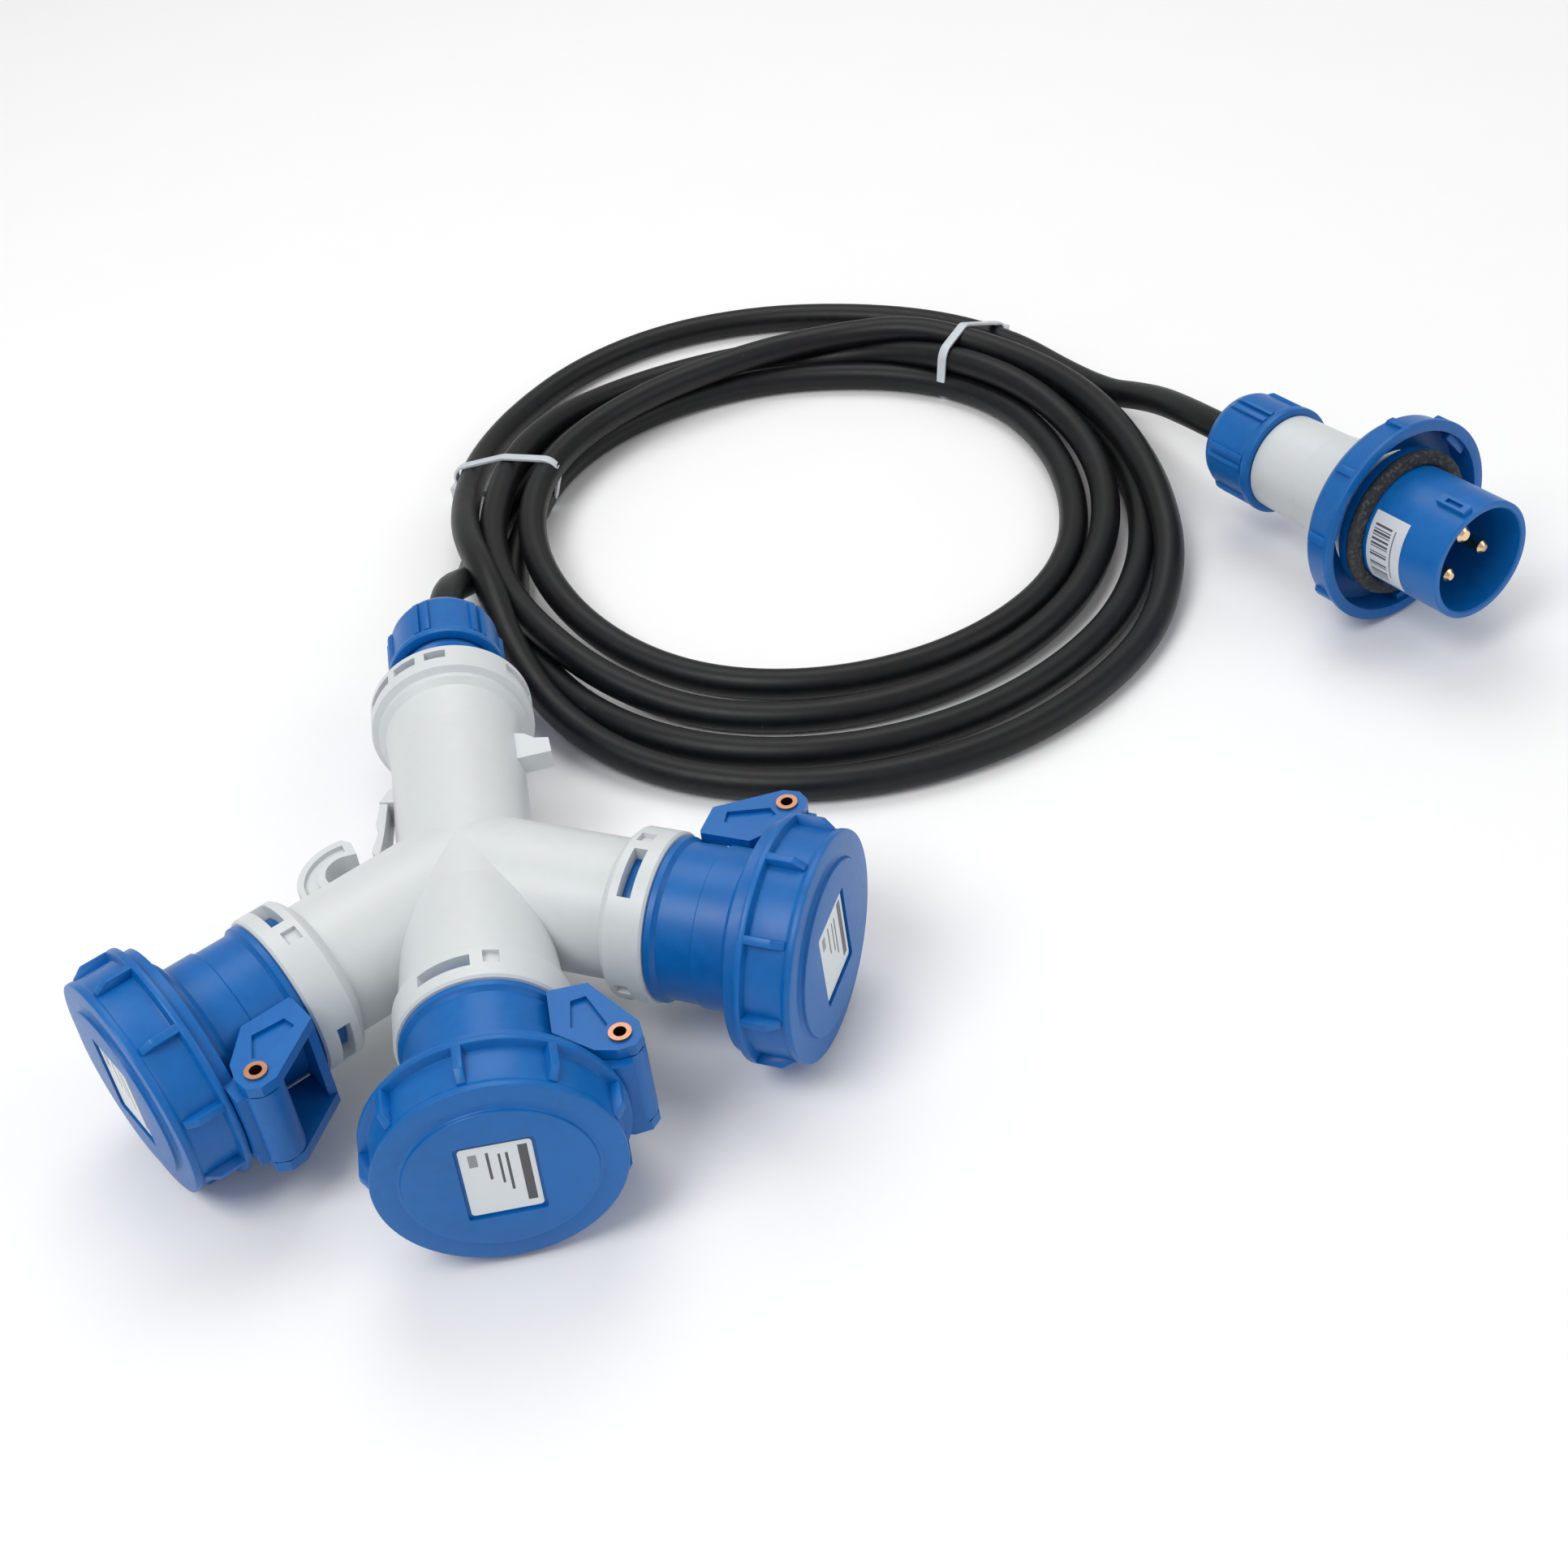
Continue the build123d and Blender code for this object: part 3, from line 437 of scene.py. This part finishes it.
def plain_mesh(tree, values):
    """What a node tree makes from its named inputs, as a plain mesh."""
    host = bpy.data.objects.new("host", bpy.data.meshes.new("host"))
    bpy.context.scene.collection.objects.link(host)
    modifier = host.modifiers.new("nodes", "NODES")
    modifier.node_group = tree
    for item in tree.interface.items_tree:
        if item.in_out == "INPUT" and item.name in values:
            modifier[item.identifier] = values[item.name]
    bpy.context.view_layer.update()
    ready = host.evaluated_get(bpy.context.evaluated_depsgraph_get())
    mesh = bpy.data.meshes.new_from_object(ready)
    host.modifiers.clear()
    bpy.data.objects.remove(host)
    return mesh


def ring_of(mesh, count, first, material):
    source = bpy.data.objects.new("copied", mesh)
    made = plain_mesh(RING, {"Shape": source, "Count": count, "First": math.radians(first),
                             "Finish": material})
    bpy.data.objects.remove(source)
    return made


def piece(name, meshes, place, slot, body, *nodes, smooth=35):
    """One visible piece from several meshes in an arm's frame, standing for CAD nodes."""
    build = bmesh.new()
    for mesh in meshes:
        build.from_mesh(mesh)
    bmesh.ops.remove_doubles(build, verts=build.verts, dist=1e-5)
    bmesh.ops.dissolve_degenerate(build, dist=1e-6, edges=build.edges)
    bmesh.ops.recalc_face_normals(build, faces=build.faces)
    build.transform(place)
    for edge in build.edges:
        edge.smooth = len(edge.link_faces) == 2 and edge.calc_face_angle(0) < math.radians(smooth)
    for face in build.faces:
        face.smooth = True
        face.material_index = 0
    mesh = bpy.data.meshes.new(name)
    build.to_mesh(mesh)
    build.free()
    mesh.materials.clear()
    mesh.materials.append(FINISHES[slot])
    made = bpy.data.objects.new(name, mesh)
    bpy.context.scene.collection.objects.link(made)
    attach(made, body)
    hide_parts(*nodes)
    return made


# %% [markdown]
# ## Caps
#
# A cap is a turned shell with a raised knob, a square recess for its label, nine grip ribs
# with sloping ends and three small lugs inside.

# %%
LABEL_TURN = {"front": -2.0, "right": 4.0, "left": -1.0}
LABEL_WIDE, LABEL_HIGH = 20.2, 27.6


def cut(mesh, tool):
    """mesh with the tool's shape taken out of it."""
    body, knife = bpy.data.objects.new("body", mesh), bpy.data.objects.new("knife", tool)
    for item in (body, knife):
        bpy.context.scene.collection.objects.link(item)
    modifier = body.modifiers.new("cut", "BOOLEAN")
    modifier.object, modifier.operation, modifier.solver = knife, "DIFFERENCE", "EXACT"
    bpy.context.view_layer.update()
    made = bpy.data.meshes.new_from_object(body.evaluated_get(bpy.context.evaluated_depsgraph_get()))
    bpy.data.objects.remove(body)
    bpy.data.objects.remove(knife)
    return made


def plate(wide, high, low, top, corner, steps=6):
    """A flat plate with rounded corners, between two levels of z."""
    rim = []
    for k, (sx, sy) in enumerate(((1, 1), (-1, 1), (-1, -1), (1, -1))):
        for s in range(steps + 1):
            a = math.pi / 2 * (k + s / steps)
            rim.append((sx * (wide / 2 - corner) + corner * math.cos(a),
                        sy * (high / 2 - corner) + corner * math.sin(a)))
    count = len(rim)
    mesh = bpy.data.meshes.new("plate")
    points = [(x, y, low) for x, y in rim] + [(x, y, top) for x, y in rim]
    faces = [tuple(range(count - 1, -1, -1)), tuple(range(count, 2 * count))]
    faces += [(k, (k + 1) % count, (k + 1) % count + count, k + count) for k in range(count)]
    mesh.from_pydata(points, [], faces)
    return mesh


def cap_meshes(name):
    shell = turned([(33.6, 103.5), (38.1, 103.5), (38.1, 105.8), (35.0, 106.3), (35.0, 117.5),
                    (35.5, 118.2),
                    (35.5, 120.4), (28.1, 120.4), (27.2, 120.9), (27.2, 122.0), (0, 122.0), (0, 116.5),
                    (33.6, 116.5)], 0.7, 192)
    recess = plate(22.2, 30.2, 121.0, 123.0, 1.0)
    recess.transform(Matrix.Rotation(math.radians(LABEL_TURN[name]), 4, "Z"))
    rib = softened(prism([(34.2, 105.4), (38.1, 105.4), (38.1, 113.8), (35.6, 117.4), (34.2, 117.4)],
                         -1.35, 1.35), 0.35)
    lug = softened(prism([(31.5, 111.6), (34.0, 111.6), (34.0, 113.4), (31.5, 113.4)], -4.5, 4.5), 0.3)
    skin = FINISHES["blue_plastic"]
    return [cut(shell, recess), ring_of(rib, 9, 16, skin), ring_of(lug, 3, 30, skin)]


for name in ARMS:
    made = piece(f"{name}_ribbed_cap", cap_meshes(name), arm_frame(name), "blue_plastic",
                 f"{name}_lid_cap", f"{name}_cap")
    print(made.name, "faces", len(made.data.polygons))

# %% [markdown]
# ## Labels
#
# The labels carry no words: a dark strip and a few plain lines stand for print. The print
# is drawn from the label's own UV map.

# %%
def print_finish(name):
    material = bpy.data.materials.new(name)
    material.use_nodes = True
    g = Graph(material.node_tree)
    g.node("ShaderNodeUVMap", {"uv_map": "print"})
    place = g.out("UV")
    g.node("ShaderNodeSeparateXYZ", None, {"Vector": place})
    u, v = g.out("X"), g.out("Y")

    def band(value, low, high):
        return value.over(low) * (1 - value.over(high))

    strip = band(u, 0.8, 0.93) * band(v, 0.1, 0.94)
    lines = band(u, 0.62, 0.66) * band(v, 0.3, 0.86) + band(u, 0.52, 0.555) * band(v, 0.42, 0.86)
    lines = lines + band(u, 0.36, 0.4) * band(v, 0.5, 0.9)
    lines = lines + band(u, 0.12, 0.24) * band(v, 0.72, 0.9) * 0.7
    wear = g.node("ShaderNodeTexNoise", None, {"Vector": place, "Scale": 60.0, "Detail": 3.0})
    ink = (strip + lines) * wear.smooth(0.25, 0.4, 0.75, 1.0)
    film = g.node("ShaderNodeMix", {"data_type": "RGBA"},
                  {0: wear, 6: (0.66, 0.7, 0.73, 1), 7: (0.74, 0.78, 0.8, 1)},
                  output=2)
    base = g.node("ShaderNodeMix", {"data_type": "RGBA"},
                  {0: ink * 0.93, 6: film, 7: (0.02, 0.022, 0.03, 1)}, output=2)
    bump = g.node("ShaderNodeBump", None, {"Height": wear, "Strength": 0.1, "Distance": 0.0001})
    wanted = {"Base Color": base, "Roughness": wear.smooth(0.2, 0.8, 0.28, 0.4), "Normal": bump}
    skin = g.node("ShaderNodeBsdfPrincipled", None, wanted)
    g.node("ShaderNodeOutputMaterial", None, {"Surface": skin})
    return material


PRINT = print_finish("printed film")


def with_uv(made, corner_uv):
    layer = made.data.uv_layers.new(name="print")
    for polygon in made.data.polygons:
        for loop in polygon.loop_indices:
            layer.data[loop].uv = corner_uv[made.data.loops[loop].vertex_index]


for name in ARMS:
    film = plate(LABEL_WIDE, LABEL_HIGH, 121.1, 121.35, 1.2)
    flat = [((v.co.x + LABEL_WIDE / 2) / LABEL_WIDE, (v.co.y + LABEL_HIGH / 2) / LABEL_HIGH)
            for v in film.vertices]
    film.transform(Matrix.Rotation(math.radians(LABEL_TURN[name]), 4, "Z"))
    made = piece(f"{name}_label_film", [film], arm_frame(name), "white_film", f"{name}_lid_cap",
                 f"{name}_cap_label")
    with_uv(made, flat)
    made.data.materials[0] = PRINT

# %%
def bar_finish(name):
    """Film with a block of plain bars of uneven width, and a grey line beside it."""
    material = bpy.data.materials.new(name)
    material.use_nodes = True
    g = Graph(material.node_tree)
    g.node("ShaderNodeUVMap", {"uv_map": "print"})
    place = g.out("UV")
    g.node("ShaderNodeSeparateXYZ", None, {"Vector": place})
    u, v = g.out("X"), g.out("Y")
    across = g.node("ShaderNodeCombineXYZ", None, {"X": v})
    stripes = g.node("ShaderNodeTexNoise", None, {"Vector": across, "Scale": 34.0, "Detail": 0.0})
    bars = stripes.over(0.5) * u.over(0.12) * (1 - u.over(0.62)) * v.over(0.12) * (1 - v.over(0.9))
    line = u.over(0.7) * (1 - u.over(0.74)) * v.over(0.15) * (1 - v.over(0.8)) * 0.8
    wear = g.node("ShaderNodeTexNoise", None, {"Vector": place, "Scale": 60.0, "Detail": 3.0})
    film = g.node("ShaderNodeMix", {"data_type": "RGBA"},
                  {0: wear, 6: (0.6, 0.63, 0.68, 1), 7: (0.7, 0.72, 0.76, 1)},
                  output=2)
    base = g.node("ShaderNodeMix", {"data_type": "RGBA"},
                  {0: (bars + line) * 0.9, 6: film, 7: (0.03, 0.03, 0.04, 1)},
                  output=2)
    bump = g.node("ShaderNodeBump", None, {"Height": wear, "Strength": 0.1, "Distance": 0.0001})
    wanted = {"Base Color": base, "Roughness": wear.smooth(0.2, 0.8, 0.26, 0.4), "Normal": bump}
    skin = g.node("ShaderNodeBsdfPrincipled", None, wanted)
    g.node("ShaderNodeOutputMaterial", None, {"Surface": skin})
    return material


def wrapped(radius, thick, first, last, low, high, steps=40):
    """A thin film wrapped on a cylinder about z, and where each corner falls on its print."""
    mesh = bpy.data.meshes.new("film")
    points, flat = [], []
    for k in range(steps + 1):
        a = math.radians(first + (last - first) * k / steps)
        for r, z in ((radius, low), (radius, high), (radius + thick, high), (radius + thick, low)):
            points.append((r * math.cos(a), r * math.sin(a), z))
            flat.append(((z - low) / (high - low), k / steps))
    faces = [(4 * k + s, 4 * k + (s + 1) % 4, 4 * k + 4 + (s + 1) % 4, 4 * k + 4 + s)
             for k in range(steps) for s in range(4)]
    faces += [(3, 2, 1, 0), tuple(4 * steps + s for s in range(4))]
    mesh.from_pydata(points, [], faces)
    return mesh, flat


film, flat = wrapped(22.04, 0.14, 140, 215, -32.5, -17)
plug_label = piece("plug_barred_label", [film], PLUG, "white_film", "splitter", "plug_label")
with_uv(plug_label, flat)
plug_label.data.materials[0] = bar_finish("barred film")

# %% [markdown]
# ## Gland nuts
#
# Both nuts are the same shape, turned end for end. Six pairs of ribs run along each.

# %%
NUT_LENGTH = 27


def nut_meshes(low):
    top = low + NUT_LENGTH
    shell = turned([(17.55, low), (20.9, low), (20.9, low + 3.0), (19.6, low + 4.4), (19.2, low + 5.4),
                    (19.2, top - 4.5), (17.6, top - 1.2), (14.6, top), (7.3, top), (6.4, top - 2.2),
                    (6.4, top - 4.5), (12.1, top - 8), (12.1, top - 12), (17.55, top - 12)], 0.7, 128)
    rib = softened(prism([(18.4, low + 4.0), (20.6, low + 4.0), (20.6, top - 6.2), (19.4, top - 4.2),
                          (18.2, top - 4.2)], -1.0, 1.0), 0.3)
    skin = FINISHES["blue_plastic"]
    return [shell, ring_of(rib, 6, 9.5, skin), ring_of(rib.copy(), 6, 20.5, skin)]


END_FOR_END = Matrix.Rotation(math.pi, 4, "X")
piece("inlet_ribbed_nut", nut_meshes(107.5), INLET, "blue_plastic", "splitter", "inlet_gland_nut")
plug_nut = piece("plug_ribbed_nut", nut_meshes(97), PLUG @ END_FOR_END, "blue_plastic", "splitter",
                 "plug_gland_nut")

# %% [markdown]
# ## The plug's locking ring and its foam washer

# %%
ring_shell = turned([(34.2, -35.8), (38.4, -35.8), (38.4, -37.8), (37.2, -38.4), (36.6, -46.4),
                     (34.6, -49), (23.2, -49), (23.2, -46.6), (34.2, -46.6)], 0.6, 160)
ring_rib = softened(prism([(35.8, -37.2), (38.3, -37.2), (38.3, -45.4), (36.8, -46.4), (35.8, -46.4)],
                          -1.5, 1.5), 0.35)
ring_lug = softened(prism([(31.4, -37.6), (34.6, -37.6), (34.6, -40.4), (31.4, -40.4)], -6, 6), 0.3)
blue = FINISHES["blue_plastic"]
ring_meshes = [ring_shell, ring_of(ring_rib, 9, 10, blue), ring_of(ring_lug, 3, 40, blue)]
plug_ring = piece("plug_locking_ring", ring_meshes, PLUG, "blue_plastic", "ring", "plug_ring")

rng = np.random.default_rng(4)
foam = turned([(22.1, -37.5), (27.3, -37.5), (27.3, -33.9), (22.1, -33.9)], 1.2, 256)
for v in foam.vertices:
    v.co.z += 0.12 * rng.standard_normal()
    swell = 1 + 0.004 * rng.standard_normal() * (v.co.xy.length > 23)
    v.co.x *= swell
    v.co.y *= swell
washer = piece("plug_foam_washer", [foam], PLUG, "foam_rubber", "splitter", "plug_ring_gasket", smooth=80)

# %% [markdown]
# ## Hinge springs
#
# Each lid is pushed shut by a small torsion spring round its rivet. The coil comes from a
# Geometry Nodes spiral with the wire's section swept along it.

# %%
def spring_tree():
    tree = bpy.data.node_groups.new("spring", "GeometryNodeTree")
    for label, kind in (("Turns", "NodeSocketFloat"), ("Radius", "NodeSocketFloat"),
                        ("Height", "NodeSocketFloat"),
                        ("Wire", "NodeSocketFloat"), ("Finish", "NodeSocketMaterial")):
        tree.interface.new_socket(label, in_out="INPUT", socket_type=kind)
    tree.interface.new_socket("Geometry", in_out="OUTPUT", socket_type="NodeSocketGeometry")
    g = Graph(tree)
    turns = g.node("NodeGroupInput")
    radius, height, wire, skin = (g.out(n) for n in ("Radius", "Height", "Wire", "Finish"))
    coil = g.node("GeometryNodeCurveSpiral", None,
                  {"Resolution": 28, "Rotations": turns, "Start Radius": radius,
                   "End Radius": radius, "Height": height})
    section = g.node("GeometryNodeCurvePrimitiveCircle", None, {"Resolution": 10, "Radius": wire})
    swept = g.node("GeometryNodeCurveToMesh", None,
                   {"Curve": coil, "Profile Curve": section, "Fill Caps": True})
    solid = g.node("GeometryNodeRealizeInstances", None, {"Geometry": swept})
    done = g.node("GeometryNodeSetMaterial", None, {"Geometry": solid, "Material": skin})
    g.node("NodeGroupOutput", None, {"Geometry": done})
    return tree


SPRING = spring_tree()
RIVET = (39, 0, 94.6)                    # the middle of a hinge rivet, in its arm's frame
SPRING_HEIGHT = 7.0
for name in ARMS:
    coil = plain_mesh(SPRING, {"Turns": 5.5, "Radius": 3.7, "Height": SPRING_HEIGHT, "Wire": 0.55,
                               "Finish": FINISHES["steel"]})
    centred = Matrix.Translation((0, 0, -SPRING_HEIGHT / 2))
    stand = Matrix.Translation(RIVET) @ Matrix.Rotation(-math.pi / 2, 4, "X") @ centred
    piece(f"{name}_spring_wire", [coil], arm_frame(name) @ stand, "steel", "splitter",
          f"{name}_hinge_spring", smooth=80)

# %% [markdown]
# ## Cable ties
#
# A tie is drawn tight round the turns it holds: its path is the hull of the lead's sections
# where the tie crosses them. The band has a small ridge at every other step of that path,
# and a square head closes it.

# %%
def strand_sections(angle):
    """Where the lead's passes cross the half plane at this angle: (radius, height) of each."""
    rows = []
    for row in PASSES:
        angles = [-a for a, r, z in row]
        if -angle < angles[0] or -angle > angles[-1]:
            continue
        rows.append((np.interp(-angle, angles, [r for a, r, z in row]),
                     np.interp(-angle, angles, [z for a, r, z in row])))
    return rows


def hull_path(sections, reach):
    """Closed outline round all the sections, `reach` outside their middles."""
    spread = []
    for r, z in sections:
        for k in range(48):
            a = 2 * math.pi * k / 48
            spread.append((r + reach * math.cos(a), z + reach * math.sin(a)))
    spread = sorted(set((round(float(x), 4), max(0.75, round(float(y), 4))) for x, y in spread))
    halves = []
    for run in (spread, spread[::-1]):
        chain = []
        for p in run:
            while len(chain) > 1:
                (ax, ay), (bx, by) = chain[-2], chain[-1]
                if (bx - ax) * (p[1] - ay) - (by - ay) * (p[0] - ax) > 0:
                    break
                chain.pop()
            chain.append(p)
        halves += chain[:-1]
    return halves


def even_path(outline, step):
    """The closed outline stepped off at even distances."""
    closed = outline + outline[:1]
    gone = [0.0]
    for a, b in zip(closed, closed[1:]):
        gone.append(gone[-1] + math.dist(a, b))
    count = int(gone[-1] / step)
    marks = np.linspace(0, gone[-1], count, endpoint=False)
    xs = np.interp(marks, gone, [p[0] for p in closed])
    ys = np.interp(marks, gone, [p[1] for p in closed])
    return list(zip(xs, ys))


def strap(path, width, thick):
    """A flat band along a closed path in the x-z plane, with a ridge every other step."""
    mesh = bpy.data.meshes.new("strap")
    count = len(path)
    points, faces = [], []
    for k in range(count):
        ax, az = path[k - 1]
        bx, bz = path[(k + 1) % count]
        along = Vector((bx - ax, bz - az)).normalized()
        out = Vector((along.y, -along.x))
        x, z = path[k]
        ridge = 0.22 if k % 2 else 0.0
        for y, lift in ((-width / 2, 0), (width / 2, 0), (width / 2, thick),
                        (0.6 * width / 2, thick + ridge),
                        (-0.6 * width / 2, thick + ridge), (-width / 2, thick)):
            points.append((x + out.x * lift, y, max(0.05, z + out.y * lift)))
    for k in range(count):
        here, there = 6 * k, 6 * ((k + 1) % count)
        for s in range(6):
            n = (s + 1) % 6
            faces.append((here + s, here + n, there + n, there + s))
    mesh.from_pydata(points, [], faces)
    return mesh


TIE_WIDTH, TIE_THICK, TIE_STEP = 3.8, 0.9, 0.8
ties = []
for side_name, angle in (("left", 154.0), ("right", 47.0)):
    outline = hull_path(strand_sections(angle), CABLE / 2)
    band = strap(even_path(outline, TIE_STEP), TIE_WIDTH, TIE_THICK)
    outer = max(x for x, z in outline)
    head = softened(prism([(outer - 0.4, 2.5), (outer + 3.4, 2.5), (outer + 3.4, 8),
                           (outer - 0.4, 8)], -3, 3), 0.5)
    tail = softened(prism([(outer + 1, 0.6), (outer + 2, 0.6), (outer + 2, 2.8), (outer + 1, 2.8)],
                          -1.9, 1.9), 0.3)
    a = math.radians(angle)
    middle = CROSSING + Vector((*COIL_MIDDLE, FLOOR))
    stand = frame_of(middle, (math.cos(a), math.sin(a), 0), (0, 0, 1))
    ties.append(piece(f"{side_name}_toothed_tie", [band, head, tail], stand, "clear_nylon", "splitter",
                      f"cable_tie_{side_name}"))
print("ties", [len(t.data.polygons) for t in ties])

# %% [markdown]
# ## Floor and light
#
# A pale floor, a soft light over the left shoulder, a weaker one from the right and a
# third from behind give even studio light with a soft highlight along the rubber.

# %%
floor_mesh = bpy.data.meshes.new("floor")
floor_mesh.from_pydata([(-40, -40, 0), (40, -40, 0), (40, 40, 0), (-40, 40, 0)], [], [(0, 1, 2, 3)])
floor = bpy.data.objects.new("floor", floor_mesh)
floor.data.materials.append(finish("floor paper", (0.93, 0.93, 0.93), 0.9, grain=0.02, drift=0.005,
                                   scratches=0.0))
floor.location.z = -0.0003
bpy.context.scene.collection.objects.link(floor)


def softbox(name, place, aim, size, power):
    lamp = bpy.data.lights.new(name, "AREA")
    lamp.shape, lamp.size, lamp.energy = "DISK", size, power
    light = bpy.data.objects.new(name, lamp)
    light.location = place
    light.rotation_euler = (Vector(aim) - Vector(place)).to_track_quat("-Z", "Y").to_euler()
    bpy.context.scene.collection.objects.link(light)


softbox("key", (-0.7, -0.5, 1.5), (0.1, 0.1, 0), 0.9, 13)
softbox("fill", (1.5, -0.6, 1.1), (0.15, 0.1, 0), 1.2, 5)
softbox("top", (0.2, 0.9, 1.6), (0.15, 0.1, 0), 1.2, 9)
sky = bpy.data.worlds.new("studio")
sky.use_nodes = True
sky.node_tree.nodes["Background"].inputs[0].default_value = (1, 1, 1, 1)
sky.node_tree.nodes["Background"].inputs[1].default_value = 0.5
bpy.context.scene.world = sky
bpy.context.scene.view_settings.view_transform = "Standard"

# %% [markdown]
# ## The pieces on the lead
#
# The lead's length is what the curve measured above. Here the pieces that sit on the lead are gathered in
# one list.

# %%
on_the_lead = [frame["nodes"][name] for name in ("plug_body", "plug_shroud", "plug_pins",
                                                 "plug_gland_seal")]
on_the_lead += ties + [plug_nut, plug_ring, washer, plug_label]
